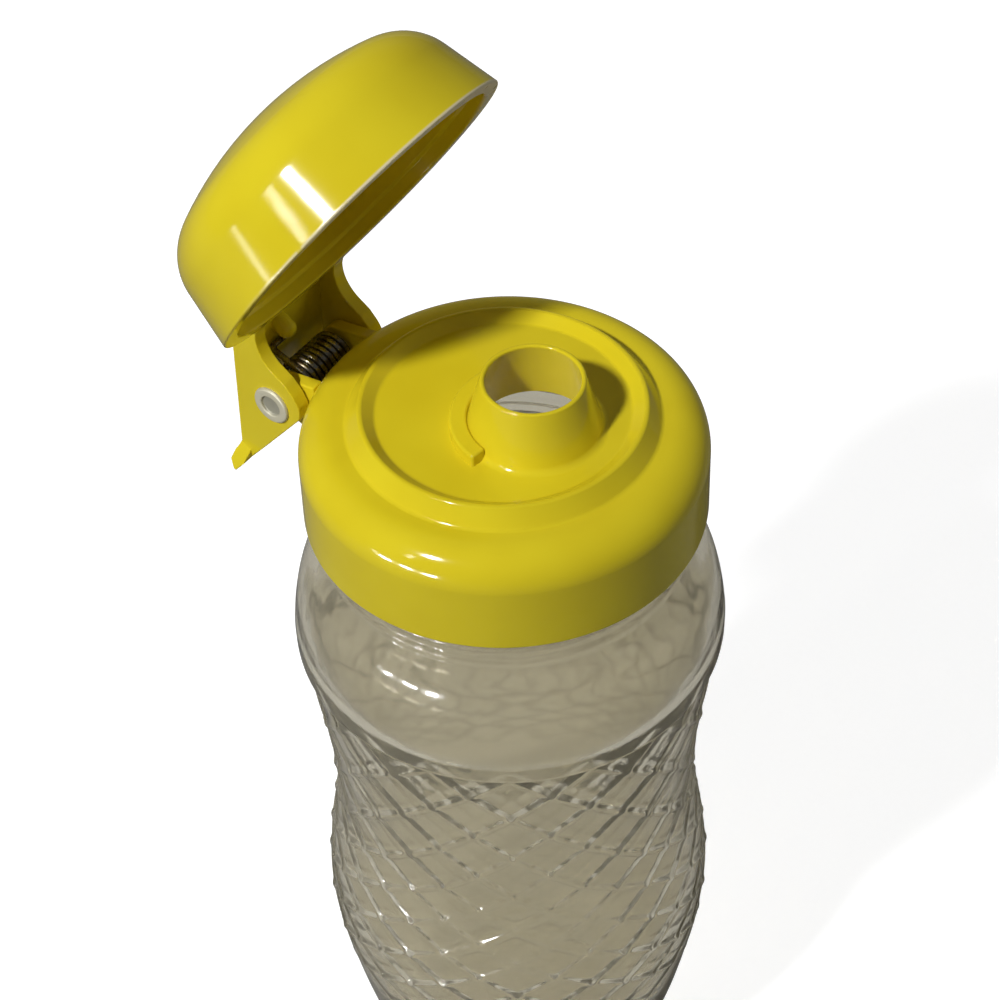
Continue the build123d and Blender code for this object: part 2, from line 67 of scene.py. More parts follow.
# (radius, height) stations of the glass: up the outside, over the lip, down the inside
JAR_OUTSIDE = (
    (22.0, 0), (26.7, 5.4), (30.5, 16.8), (33.0, 28.8), (34.7, 40.5), (35.2, 50.0),
    (34.75, 58.0), (33.5, 66.9), (32.3, 75.0), (32.2, 83.0), (33.0, 95.7),
    (34.35, 106.6), (34.75, 113.3), (34.75, 116.3),
)
JAR_SHOULDER = (
    (36.7, 120.5), (36.2, 124.4), (35.2, 129.0), (33.4, 133.8), (31.2, 137.0),
    (30.35, 138.3),
)
NECK_RINGS = (
    (30.35, 138.6), (30.55, 139.0), (30.55, 139.5), (30.3, 139.95), (29.9, 140.2),
    (29.8, 140.6), (29.85, 141.0), (30.25, 141.45), (30.65, 141.9), (30.8, 142.5),
    (30.65, 143.1), (30.25, 143.55), (29.85, 144.0), (29.8, 144.8), (29.8, 152.0),
)
LIP = (
    (29.8, 160.0), (29.68, 160.65), (29.3, 161.15), (28.7, 161.4), (27.3, 161.4),
    (26.9, 161.3), (26.65, 161.0), (26.6, 160.5), (26.6, 150.0), (26.6, 141.5),
)
JAR_INSIDE = (
    (26.6, 139.0), (28.6, 134.6), (32.1, 128.4), (33.5, 121.5), (32.7, 114.5),
    (31.1, 105.0), (29.8, 94.0), (29.15, 83.0), (29.3, 74.0), (30.6, 65.0),
    (32.0, 56.0), (32.2, 49.0), (31.6, 38.0), (29.7, 26.5), (26.2, 14.5),
    (21.5, 8.8), (14.0, 7.1), (5.0, 7.3),
)
JAR_FOOT = (
    (22.0, 0.12), (21.3, 0.0), (19.0, 0.0), (18.3, 0.12), (16.2, 1.0), (15.0, 1.2),
    (6.0, 1.2),
)
INSIDE_FLOOR, FOOT_HOLLOW = 7.4, 1.2    # heights of the glass floor's two faces, in the middle
POLE_R = 1.0                            # the last small ring round each pole
LEDGE_R, LEDGE_LOW, LEDGE_TOP, LEDGE_ROUND = 36.7, 116.3, 119.2, 1.6

# the quilt, whose ribs run along both diagonals of a grid of columns and rows
QUILT_COLUMNS = 16
QUILT_TURN = -144.6      # direction, in degrees, of a column of whole diamonds
QUILT_ROWS = (116.3, 104.3, 91.1, 79.3, 70.6, 62.0, 53.4, 44.8, 36.2, 27.6)
QUILT_R = 34.0           # the quilt's mean radius
COLUMN_WIDTH = 2 * pi * QUILT_R / QUILT_COLUMNS
RIB_LINES = (0, 0.04, 0.08, 0.12, 0.16, 0.26, 0.38, 0.5, 0.62, 0.74, 0.84, 0.88, 0.92, 0.96)
RIB_HALF = 0.16          # half a rib's width, as a share of the pitch
RIB_HEIGHT = 0.42
BEAD_R, BEAD_HEIGHT = 1.35, 0.3         # the small round bead where two ribs cross
TOP_FADE = 0.12          # rows over which the ribs rise below the ledge
LOW_FADE, LOW_END = 1.4, 0.6            # rows over which they die out, and rows left plain

THREAD_LEAD = 4.23
RIDGE_FOOT, RIDGE_TOP = 1.1, 0.45       # half a ridge's width, at its foot and its crest
SEAL_IN, SEAL_OUT, LIP_TOP, SEAL_TOP = 25.6, 28.4, 161.4, 162.4

# the cap
SKIRT_R, SKIRT_LOW = 33.1, -17.8
EDGE_R = 6.2             # the big rounding between the flat top and the skirt
PLATE_R, PLATE_TOP = 19.6, 1.5          # the plate that carries the spout
SPOUT_Y, SPOUT_TOP = -6.0, 11.3
SPOUT_ROOT_R, SPOUT_BORE_R = 13.2, 10.8
LUG_R, LUG_IN, LUG_THICK = 3.8, 6.2, 2.4

# the lid
LID_R, LID_GAP, LID_TOP, LID_WALL = 29.4, 0.3, 22.0, 2.2
DRAFT = radians(10.6)
DOME_R, CORNER_R = 57.0, 10.5
CHEEK_IN, CHEEK_THICK = 8.9, 2.55
LEVER_HALF = 9.3
PAD_NECK, PAD_HALF = 11.3, 13.9         # the thumb pad's half widths, at its start and full
PAD_START, PAD_FLARE = 15.0, 1.4        # where it starts behind the pin, and its widening
PEG_X, PEG_U, PEG_LOW, PEG_HIGH = -2.0, -4.7, 5.9, 11.2     # U is behind the pin

# points that the cheeks, the lever and its pad share, (behind the pin, above it)
LEVER_TOP, LEVER_END = (-13.8, 17.01), (15.6, -0.17)
PAD_CREST, PAD_TIP, PAD_FOOT = (17.8, -0.75), (19.5, -2.2), (19.5, -2.75)

# the rivet along the pin: its rims' undersides and faces, and the dish in each end
BARREL_R, RIM_R, RIM_UNDER, RIM_FACE = 2.3, 3.5, 11.1, 12.0
DISH_R, DISH_FACE = 1.8, 11.6

# the hinge spring, its legs' ends as (behind the pin, above it) with the lid shut
COIL_R, WIRE_R, COIL_HALF, COIL_TURNS = 3.3, 0.55, 4.9, 8
LID_LEG, CAP_LEG = (-2.4, 7.0), (-5.7, -7.6)
LEG_LEAN, CAP_LEG_LEAN = 0.4, 0.5       # how far each leg drifts along the pin
ELBOW_R, HOOK = 1.0, 3.4                # the lid leg's bend, and its straight hook past it


# ------------------------------------------------------------------ shape tools

CAP_SPIN, THREAD_SPIN, COIL_SPIN = 192, 96, 40     # steps in a full turn
ROUNDING_STEP = 12       # degrees from face to face on a rounded corner


def arc(centre, radius, start, end, steps):
    """Points (a, b, 0) on an arc, angles in degrees from the first axis."""
    turns = [radians(start + (end - start) * n / steps) for n in range(steps + 1)]
    return [(centre[0] + radius * cos(t), centre[1] + radius * sin(t), 0) for t in turns]


def flowing(points, steps=5):
    """A smooth curve through the points, as a longer list of (a, b) points."""
    knots = [Vector((a, b, 0)) for a, b in points]
    curve = [knots[0]]
    for n in range(len(knots) - 1):
        here, there = knots[n], knots[n + 1]
        before = knots[max(n - 1, 0)]
        after = knots[min(n + 2, len(knots) - 1)]
        leave = here + (there - before) / 6
        arrive = there - (after - here) / 6
        curve += interpolate_bezier(here, leave, arrive, there, steps + 1)[1:]
    return [(point.x, point.y) for point in curve]


def plate(bm, corners, place):
    """One flat face through corners (a, b, radius), each corner rounded to its radius."""
    verts = [bm.verts.new(place(a, b)) for a, b, _ in corners]
    bm.faces.new(verts)
    count = len(corners)
    for n, (a, b, radius) in enumerate(corners):
        if radius:
            back = Vector((corners[n - 1][0] - a, corners[n - 1][1] - b))
            ahead = corners[(n + 1) % count]
            turn = pi - back.angle(Vector((ahead[0] - a, ahead[1] - b)))
            bmesh.ops.bevel(
                bm, geom=[verts[n]], offset=radius * tan(turn / 2), offset_type="OFFSET",
                segments=max(2, ceil(degrees(turn) / ROUNDING_STEP)), profile=0.5,
                affect="VERTICES", material=-1,
            )
    return verts


def turned(corners, centre=(0, 0), steps=CAP_SPIN, closed=True):
    """A section of (radius, height, rounding) corners turned about an upright axis."""
    bm = bmesh.new()
    x, y = centre
    verts = plate(bm, corners, lambda a, b: (x + a, y, b))
    bmesh.ops.delete(bm, geom=bm.faces[:], context="FACES_ONLY")
    if not closed:
        bm.edges.remove(bm.edges.get((verts[-1], verts[0])))
    on_axis = [e for e in bm.edges if all(abs(v.co.x - x) < 1e-4 for v in e.verts)]
    bmesh.ops.delete(bm, geom=on_axis, context="EDGES_FACES")
    bmesh.ops.spin(
        bm, geom=bm.verts[:] + bm.edges[:], cent=(x, y, 0), axis=(0, 0, 1),
        angle=2 * pi, steps=steps, use_merge=True,
    )
    bmesh.ops.remove_doubles(bm, verts=bm.verts[:], dist=1e-4)
    return bm


def slab(corners, low_x, high_x, edge=0.0):
    """A plate drawn in side view, (behind the pin, above it), given a thickness in X."""
    bm = bmesh.new()
    plate(bm, corners, lambda u, v: (low_x, PIN_Y + u, PIN_Z + v))
    bmesh.ops.dissolve_limit(bm, angle_limit=radians(0.5), verts=bm.verts[:], edges=bm.edges[:])
    made = bmesh.ops.extrude_face_region(bm, geom=bm.faces[:])
    moved = [v for v in made["geom"] if isinstance(v, bmesh.types.BMVert)]
    bmesh.ops.translate(bm, vec=(high_x - low_x, 0, 0), verts=moved)
    bmesh.ops.recalc_face_normals(bm, faces=bm.faces[:])
    if edge:
        soften(bm, edge)
    return bm


def soften(bm, edge, over=35, segments=3):
    """Rounds every edge whose faces turn by more than a given angle."""
    sharp = [e for e in bm.edges if e.is_manifold and e.calc_face_angle() > radians(over)]
    bmesh.ops.bevel(
        bm, geom=sharp, offset=edge, offset_type="OFFSET", segments=segments, profile=0.5,
        affect="EDGES", clamp_overlap=True, material=-1,
    )


def gather(*shapes):
    """Several shapes in one."""
    whole = bmesh.new()
    for shape in shapes:
        part = bpy.data.meshes.new("part")
        shape.to_mesh(part)
        shape.free()
        whole.from_mesh(part)
        bpy.data.meshes.remove(part)
    return whole


def carried_on(bm, loop):
    """Extrudes a loop of edges: the new loop and its vertices, still where the old ones are."""
    made = bmesh.ops.extrude_edge_only(bm, edges=loop)["geom"]
    fresh = {v for v in made if isinstance(v, bmesh.types.BMVert)}
    new_loop = [
        e for e in made if isinstance(e, bmesh.types.BMEdge) and all(v in fresh for v in e.verts)
    ]
    return new_loop, list(fresh)


def close_ends(bm):
    """Fills every open end."""
    bmesh.ops.holes_fill(bm, edges=[e for e in bm.edges if e.is_boundary], sides=0)


def rotate(bm, angle, axis, centre=(0, 0, 0)):
    """Turns a whole shape, in degrees."""
    bmesh.ops.rotate(
        bm, cent=centre, matrix=Matrix.Rotation(radians(angle), 3, axis), verts=bm.verts[:]
    )


def settle(bm, name, body, paint, sharp=38):
    """Turns a shape in millimetres into a finished, smoothly shaded piece in metres."""
    bmesh.ops.scale(bm, vec=(MM, MM, MM), verts=bm.verts[:])
    bmesh.ops.recalc_face_normals(bm, faces=bm.faces[:])
    for face in bm.faces:
        face.smooth = True
    for edge in bm.edges:
        edge.smooth = not (edge.is_manifold and edge.calc_face_angle() > radians(sharp))
    mesh = bpy.data.meshes.new(name)
    bm.to_mesh(mesh)
    bm.free()
    mesh.materials.append(paint)
    piece = bpy.data.objects.new(name, mesh)
    bpy.context.scene.collection.objects.link(piece)
    even = piece.modifiers.new("Even shading", "WEIGHTED_NORMAL")
    even.keep_sharp = True
    even.weight = 60
    if body:
        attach(piece, body)
    return piece


# ------------------------------------------------------------------ material tools

class Flow:
    """A node's output that Python's own arithmetic works on."""

    def __init__(self, out):
        self.out = out

    def node(self, kind, settings=None, inputs=None, output=0):
        """Any other node: its type, its settings, its sockets' values or links."""
        tree = self.out.id_data
        made = tree.nodes.new(kind)
        for key, value in (settings or {}).items():
            setattr(made, key, value)
        for key, value in (inputs or {}).items():
            if isinstance(value, Flow):
                tree.links.new(value.out, made.inputs[key])
            else:
                made.inputs[key].default_value = value
        return Flow(made.outputs[output])

    def math(self, operation, *others):
        inputs = dict(enumerate((self, *others)))
        return self.node("ShaderNodeMath", {"operation": operation}, inputs)

    def __add__(self, other):
        return self.math("ADD", other)

    def __sub__(self, other):
        return self.math("SUBTRACT", other)

    def __rsub__(self, other):
        return (self * -1.0).math("ADD", other)

    def __mul__(self, other):
        return self.math("MULTIPLY", other)

    __radd__ = __add__
    __rmul__ = __mul__

    def axes(self):
        """The x, y and z of a place."""
        return [self.node("ShaderNodeSeparateXYZ", {}, {0: self}, output=n) for n in range(3)]

    def between(self, low, high):
        """0 below low, 1 above high, smooth in between."""
        return self.node(
            "ShaderNodeMapRange", {"interpolation_type": "SMOOTHSTEP"},
            {"Value": self, "From Min": low, "From Max": high},
        )

    def blend(self, first, second):
        """Colours mixed by this value."""
        sockets = {0: self, 6: first, 7: second}
        return self.node("ShaderNodeMix", {"data_type": "RGBA"}, sockets, output=2)


def apart(a, b):
    """Length of a run whose two sides are a and b."""
    return (a * a + b * b).math("SQRT")


def material(name, **shader_values):
    """A material with constant shader values: returns it, its shader and its place."""
    made = bpy.data.materials.new(name)
    made.use_nodes = True
    shader = made.node_tree.nodes["Principled BSDF"]
    for key, value in shader_values.items():
        shader.inputs[key.replace("_", " ")].default_value = value
    place = made.node_tree.nodes.new("ShaderNodeTexCoord").outputs["Object"]
    return made, shader, Flow(place)


def drive(shader, socket, flow):
    """Feeds one of the shader's sockets."""
    flow.out.id_data.links.new(flow.out, shader.inputs[socket])


def noise(place, scale, detail=3.0):
    """A noise pattern, 0 to 1, at a scale in cells per metre."""
    values = {"Vector": place, "Scale": scale, "Detail": detail, "Roughness": 0.5}
    return place.node("ShaderNodeTexNoise", {}, values)


def bump(height, strength, distance):
    """Surface relief from a height, distance in metres."""
    values = {"Height": height, "Strength": strength, "Distance": distance}
    return height.node("ShaderNodeBump", {}, values)


# ------------------------------------------------------------------ materials

# each pair is a finish's brighter and deeper colour
YELLOW, YELLOW_DEEP = (0.80, 0.655, 0.020, 1), (0.745, 0.595, 0.016, 1)
# the glass's colour: a faint warm tint, deepened and warmed as a painted reflection of warm
# surroundings
GLASS_TINT_AND_REFLECTION_PALE, GLASS_TINT_AND_REFLECTION_DEEP = (0.805, 0.765, 0.635, 1), (0.765, 0.72, 0.575, 1)
RIM_PALE, RIM_DEEP = (0.66, 0.63, 0.48, 1), (0.50, 0.47, 0.35, 1)
# the rivet's dished ends: painted shade, darker than the rims, standing for the shade down its
# hollow bore
DISH_SHADE_PALE, DISH_SHADE_DEEP = (0.36, 0.35, 0.27, 1), (0.27, 0.26, 0.20, 1)
STEEL, STAINED_STEEL = (0.34, 0.32, 0.25, 1), (0.13, 0.10, 0.06, 1)
FOAM, FOAM_DEEP = (0.80, 0.79, 0.74, 1), (0.70, 0.69, 0.64, 1)
# pale colour on the front of the lid's rim: partly scuffs, partly a painted sheen standing for
# white surroundings glancing off the rim
PALE_SCUFF_AND_SHEEN = (0.80, 0.71, 0.50, 1)
SCUFF_AND_SHEEN_SHARE = 0.9               # how far the rim's scuffs and painted sheen hide the yellow


def rim_scuff_and_sheen(place):
    """0 to 1 where the lid's rim is painted pale, partly scuffs and partly a painted sheen: on
    its outer edge, from the tip to the sides.
    """
    pin = Vector((0, PIN_Y, PIN_Z)) * MM
    shut = Matrix.Rotation(radians(LID_OPEN), 3, "X")
    # the same place with the lid swung shut
    x, y, z = place.node("ShaderNodeMapping", {}, {
        "Vector": place, "Rotation": (radians(LID_OPEN), 0, 0), "Location": pin - shut @ pin,
    }).axes()
    at_rim = 1 - (z - (FLAT + LID_GAP) * MM).math("ABSOLUTE").between(0.0003, 0.0007)
    front = 1 - y.between(-0.026, 0.002)
    patchy = noise(place, 500, 4.0).between(0.22, 0.44)
    return at_rim * apart(x, y).between(0.0262, 0.0265) * front * SCUFF_AND_SHEEN_SHARE * patchy


def moulded_yellow(name, scuffed_sheen_rim=False):
    """Glossy yellow plastic, a little uneven; the lid's rim is pale at the front, partly scuffed
    and partly a painted sheen.
    """
    made, shader, place = material(name, IOR=1.48, Specular_IOR_Level=0.42)
    colour = noise(place, 55, 2.0).between(0.3, 0.75).blend(YELLOW, YELLOW_DEEP)
    gloss = noise(place, 260, 4.0) * 0.05 + 0.075
    if scuffed_sheen_rim:
        # the rim's pale front: partly scuffs, partly painted sheen
        scuff_sheen_mask = rim_scuff_and_sheen(place)
        colour = scuff_sheen_mask.blend(colour, PALE_SCUFF_AND_SHEEN)
        gloss = gloss + scuff_sheen_mask * 0.3
    drive(shader, "Base Color", colour)
    drive(shader, "Roughness", gloss)
    drive(shader, "Normal", bump(noise(place, 130, 2.0), 0.12, 0.0002))
    return made


def pressed_glass():
    """Clear glass, faintly warm, its tint deepened and warmed as a painted reflection of warm
    surroundings, its pressed faces a little wavy and soft.
    """
    made, shader, place = material(
        "pressed_glass", IOR=1.42, Transmission_Weight=0.94, Specular_IOR_Level=0.8
    )
    # faint warm tint, with a painted reflection of warm surroundings
    drive(shader, "Base Color", noise(place, 40, 2.0).blend(GLASS_TINT_AND_REFLECTION_PALE, GLASS_TINT_AND_REFLECTION_DEEP))
    drive(shader, "Roughness", noise(place, 90, 2.0) * 0.03 + 0.085)
    drive(shader, "Normal", bump(noise(place, 130, 2.0), 0.5, 0.0003))
    return made


def dull_rivet():
    """Tarnished soft metal, paler on the rolled rims than in the dished ends, which are painted
    dark as painted shade standing for the rivet's hollow bore.
    """
    made, shader, place = material("dull_rivet", Metallic=0.3)
    _, y, z = place.axes()
    rolled = apart(y - PIN_Y * MM, z - PIN_Z * MM).between(0.0017, 0.0021)
    cloud = noise(place, 900, 4.0)
    # painted shade in the dished ends, pale metal on the rolled rims
    drive(shader, "Base Color", rolled.blend(
        cloud.blend(DISH_SHADE_PALE, DISH_SHADE_DEEP), cloud.blend(RIM_PALE, RIM_DEEP)
    ))
    drive(shader, "Roughness", cloud * 0.2 + 0.4)
    return made


def spring_wire():
    """Bright wire with brown stains."""
    made, shader, place = material("spring_wire", Metallic=1.0)
    stain = noise(place, 600, 4.0).between(0.42, 0.68)
    drive(shader, "Base Color", stain.blend(STEEL, STAINED_STEEL))
    drive(shader, "Roughness", stain * 0.2 + 0.2)
    return made


def seal_foam():
    """White closed-cell foam."""
    made, shader, place = material("seal_foam", Roughness=0.7)
    grain = noise(place, 3000, 3.0)
    drive(shader, "Base Color", grain.blend(FOAM, FOAM_DEEP))
    drive(shader, "Normal", bump(grain, 0.3, 0.0001))
    return made


lid_yellow = moulded_yellow("lid_yellow", scuffed_sheen_rim=True)
cap_yellow = moulded_yellow("cap_yellow")
glass = pressed_glass()
rivet_metal = dull_rivet()
spring_steel = spring_wire()
white_foam = seal_foam()


# ------------------------------------------------------------------ camera

CAMERA_PLACE = (-0.225649, -0.171093, 0.433629)
CAMERA_BACK = Vector((-0.55669, -0.42547, 0.7135))       # from the part towards the camera
CAMERA_ACROSS = Vector((0.58544, -0.81029, -0.02641))    # towards the picture's right

SENSOR, LENS = 36.0, 88.93

camera_data = bpy.data.cameras.new("camera")
camera_data.sensor_width = SENSOR
camera_data.lens = LENS
camera_data.clip_start = 0.02
camera = bpy.data.objects.new("camera", camera_data)
camera.matrix_world = Matrix.Translation(CAMERA_PLACE) @ Matrix(
    (CAMERA_ACROSS, CAMERA_BACK.cross(CAMERA_ACROSS), CAMERA_BACK)
).transposed().to_4x4()
bpy.context.scene.collection.objects.link(camera)
bpy.context.scene.camera = camera


# ------------------------------------------------------------------ glass jar

outside_wall = flowing(JAR_OUTSIDE, 8)


def wall_radius(height):
    """Outer radius of the jar's body at a height."""
    for (low_r, low_z), (high_r, high_z) in zip(outside_wall, outside_wall[1:]):
        if low_z <= height <= high_z:
            return low_r + (high_r - low_r) * (height - low_z) / (high_z - low_z)
    return outside_wall[-1][0]


def crowded(value):
    """Moves an even grid line to where the ribs need it."""
    whole = int(value // 1)
    part = round((value - whole) * len(RIB_LINES))
    if part == len(RIB_LINES):
        whole, part = whole + 1, 0
    return whole + RIB_LINES[part]


def rounded(away, reach):
    """A smooth hump, 1 in its middle and 0 from its reach on."""
    return 0.0 if away > reach else (1 + cos(pi * away / reach)) / 2


def quilt_relief(p, q, row_height):
    """How far the quilt stands out where ribs run along whole values of p and of q."""
    off_p, off_q = p - round(p), q - round(q)
    rib = max(rounded(abs(off_p), RIB_HALF), rounded(abs(off_q), RIB_HALF))
    aside, up = (off_p - off_q) / 2 * COLUMN_WIDTH, (off_p + off_q) / 2 * row_height
    bead = rounded(sqrt(aside**2 + up**2), BEAD_R)
    return RIB_HEIGHT * rib + BEAD_HEIGHT * bead


def quilted_band():
    """The diamond-ribbed wall: a diagonal grid, cut square, then wrapped round the jar."""
    rows = len(QUILT_ROWS) - 1
    reach = QUILT_COLUMNS + rows
    cells = reach * len(RIB_LINES)
    bm = bmesh.new()
    bmesh.ops.create_grid(bm, x_segments=cells, y_segments=cells, size=reach / 2)
    # grid lines are p = column + row and q = row - column
    shift = Vector((reach / 2, (rows - QUILT_COLUMNS) / 2, 0))
    bmesh.ops.translate(bm, vec=shift, verts=bm.verts[:])
    for vert in bm.verts:
        p, q = vert.co.x, vert.co.y
        vert.co = ((p - q) / 2, (p + q) / 2, 0)
    cuts = (
        ((0, 0, 0), (-1, 0, 0)), ((QUILT_COLUMNS, 0, 0), (1, 0, 0)),
        ((0, 0, 0), (0, -1, 0)), ((0, rows, 0), (0, 1, 0)),
    )
    for point, normal in cuts:
        bmesh.ops.bisect_plane(
            bm, geom=bm.verts[:] + bm.edges[:] + bm.faces[:], dist=1e-5,
            plane_co=point, plane_no=normal, clear_outer=True,
        )
    for vert in bm.verts:
        column, row = vert.co.x, vert.co.y
        p, q = crowded(row + column), crowded(row - column)
        column, row = (p - q) / 2, min(max((p + q) / 2, 0), rows)
        step = min(int(row), rows - 1)
        row_height = QUILT_ROWS[step] - QUILT_ROWS[step + 1]
        height = QUILT_ROWS[step] - row_height * (row - step)
        fade = min(1, max(0, (rows - LOW_END - row) / LOW_FADE)) * min(1, row / TOP_FADE)
        radius = wall_radius(height) + quilt_relief(p, q, row_height) * fade
        turn = radians(QUILT_TURN + 360 * column / QUILT_COLUMNS)
        vert.co = (radius * cos(turn), radius * sin(turn), height)
    bmesh.ops.remove_doubles(bm, verts=bm.verts[:], dist=0.002)
    return bm


def grow(bm, loop, stations):
    """Carries a loop of edges on through (radius, height) stations, ring by ring."""
    for radius, height, *_ in stations:
        loop, fresh = carried_on(bm, loop)
        for vert in fresh:
            turn = atan2(vert.co.y, vert.co.x)
            vert.co = (radius * cos(turn), radius * sin(turn), height)
    return loop


def close_pole(bm, loop, height):
    """Closes a round opening: a last small ring, then one point on the axis."""
    ring = grow(bm, loop, [(POLE_R, height)])
    verts = list({v for e in ring for v in e.verts})
    bmesh.ops.pointmerge(bm, verts=verts, merge_co=(0, 0, height))


def thread(low, high, root, crest, start):
    """A rounded thread ridge between two heights, from a starting angle in degrees."""
    bm = bmesh.new()
    section = [
        (root, low - RIDGE_FOOT, 0), (crest, low - RIDGE_TOP, 0.25),
        (crest, low + RIDGE_TOP, 0.25), (root, low + RIDGE_FOOT, 0),
    ]
    plate(bm, section, lambda a, b: (a * cos(radians(start)), a * sin(radians(start)), b))
    bmesh.ops.delete(bm, geom=bm.faces[:], context="FACES_ONLY")
    turns = (high - low) / THREAD_LEAD
    steps = round(THREAD_SPIN * turns)
    bmesh.ops.spin(
        bm, geom=bm.verts[:] + bm.edges[:], cent=(0, 0, 0), axis=(0, 0, 1),
        dvec=(0, 0, (high - low) / steps), angle=2 * pi * turns, steps=steps,
    )
    close_ends(bm)
    return bm


def jar_wall():
    """The quilted band, carried over the lip to the inner floor, and down under the foot."""
    bm = quilted_band()
    rims = [e for e in bm.edges if e.is_boundary]
    middle = (QUILT_ROWS[0] + QUILT_ROWS[-1]) / 2
    top_loop = [e for e in rims if e.verts[0].co.z > middle]
    low_loop = [e for e in rims if e.verts[0].co.z < middle]
    ledge = [
        (34.95, LEDGE_LOW),
        *arc((LEDGE_R - LEDGE_ROUND, LEDGE_LOW + LEDGE_ROUND), LEDGE_ROUND, -90, 0, 7),
        (LEDGE_R, LEDGE_TOP),
    ]
    up_and_in = [*ledge, *flowing(JAR_SHOULDER), *NECK_RINGS, *LIP, *flowing(JAR_INSIDE)]
    close_pole(bm, grow(bm, top_loop, up_and_in), INSIDE_FLOOR)
    # the plain wall under the quilt
    below_quilt = [point for point in reversed(outside_wall) if 0.6 < point[1] < 25.0]
    close_pole(bm, grow(bm, low_loop, [*below_quilt, *JAR_FOOT]), FOOT_HOLLOW)
    bmesh.ops.remove_doubles(bm, verts=bm.verts[:], dist=0.0005)
    return bm


jar = gather(jar_wall(), thread(low=151.2, high=157.6, root=29.7, crest=31.1, start=20))
glass_piece = settle(jar, "quilted_jar", "jar", glass, sharp=80)
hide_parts("glass_jar")


# ------------------------------------------------------------------ mouth seal

seal = turned([
    (SEAL_IN, LIP_TOP, 0.2), (SEAL_OUT, LIP_TOP, 0.2), (SEAL_OUT, SEAL_TOP, 0.2),
    (SEAL_IN, SEAL_TOP, 0.2),
])
seal_piece = settle(seal, "seal_ring", "seal", white_foam)
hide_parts("mouth_seal")


# ------------------------------------------------------------------ screw cap

def above(height):
    """A height measured from the cap's flat top."""
    return FLAT + height


def ring_at(bm, radius, height, centre=(0, 0)):
    """The loop of edges at a given radius and height."""
    def on_ring(vert):
        away = sqrt((vert.co.x - centre[0]) ** 2 + (vert.co.y - centre[1]) ** 2)
        return abs(away - radius) < 0.01 and abs(vert.co.z - height) < 0.01
    return [e for e in bm.edges if all(on_ring(v) for v in e.verts)]


def crescent_rib():
    """The low rib that runs half round the spout's foot."""
    low, high, inner, outer = above(0.4), above(3.7), 10.5, 13.3
    start, sweep = radians(10), radians(160)
    bm = bmesh.new()
    plate(
        bm, [(inner, low, 0), (outer, low, 0), (outer, high, 0), (inner, high, 0)],
        lambda a, b: (a * cos(start), a * sin(start) + SPOUT_Y, b),
    )
    bmesh.ops.delete(bm, geom=bm.faces[:], context="FACES_ONLY")
    bmesh.ops.spin(
        bm, geom=bm.verts[:] + bm.edges[:], cent=(0, SPOUT_Y, 0), axis=(0, 0, 1),
        angle=sweep, steps=60,
    )
    close_ends(bm)
    bmesh.ops.recalc_face_normals(bm, faces=bm.faces[:])
    soften(bm, 0.8, over=50, segments=4)
    return bm


def cap_with_spout():
    """The cap's shell and its off-centre spout, joined by the plate between them."""
    cap_shell = turned(
        [
            (PLATE_R, above(PLATE_TOP), 0), (20.4, above(PLATE_TOP), 0.9),
            (22.35, above(3.0), 0.55), (23.0, above(3.0), 0.55), (25.2, above(0), 0.8),
            (26.6, above(0), 0), *arc((26.8, above(-EDGE_R)), EDGE_R, 90, 1, 20),
            (33.05, above(-12), 0), (SKIRT_R, above(SKIRT_LOW), 0.35),
            (31.6, above(SKIRT_LOW), 0.45), (31.5, above(-4.7), 3.0), (28.0, above(-1.6), 0),
            (22.4, above(-1.6), 0.4), (21.6, above(0), 0.4), (PLATE_R, above(0), 0),
        ],
        closed=False,
    )
    spout = turned(
        [
            (SPOUT_ROOT_R, above(PLATE_TOP), 0), (10.95, above(PLATE_TOP), 1.3),
            (8.25, above(SPOUT_TOP), 0.38), (7.45, above(SPOUT_TOP), 0.38),
            (9.1, above(0), 0.5), (SPOUT_BORE_R, above(0), 0),
        ],
        centre=(0, SPOUT_Y), closed=False,
    )
    cap = gather(cap_shell, spout)
    for height, spout_r in ((above(PLATE_TOP), SPOUT_ROOT_R), (above(0), SPOUT_BORE_R)):
        rim = ring_at(cap, PLATE_R, height)
        bmesh.ops.bridge_loops(cap, edges=rim + ring_at(cap, spout_r, height, (0, SPOUT_Y)))
    return cap


lug_side = [(-6.9, 5.0, 0), *arc((0, 0), LUG_R, 78, -62, 14), (-6.9, -6.1, 0)]
lugs = [slab(lug_side, x, x + LUG_THICK, 0.35) for x in (-LUG_IN - LUG_THICK, LUG_IN)]
inner_thread = thread(low=148.4, high=155.6, root=31.6, crest=30.3, start=200)

cap_piece = settle(
    gather(cap_with_spout(), crescent_rib(), *lugs, inner_thread),
    "spout_cap", "cap", cap_yellow,
)
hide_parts("screw_cap")


# ------------------------------------------------------------------ flip lid

DOME_CENTRE = above(LID_TOP - DOME_R)


def wall_line(inset, height):
    """Radius of the lid's drafted wall, moved inwards by inset."""
    return LID_R - inset / cos(DRAFT) - (height - above(LID_GAP)) * tan(DRAFT)


def corner_centre(radius):
    """Centre of the arc that joins the lid's wall to its dome."""
    base, slope, reach = wall_line(radius, DOME_CENTRE), tan(DRAFT), DOME_R - radius
    rise = base * slope + sqrt((base * slope) ** 2 - (1 + slope**2) * (base**2 - reach**2))
    rise /= 1 + slope**2
    return base - rise * slope, DOME_CENTRE + rise


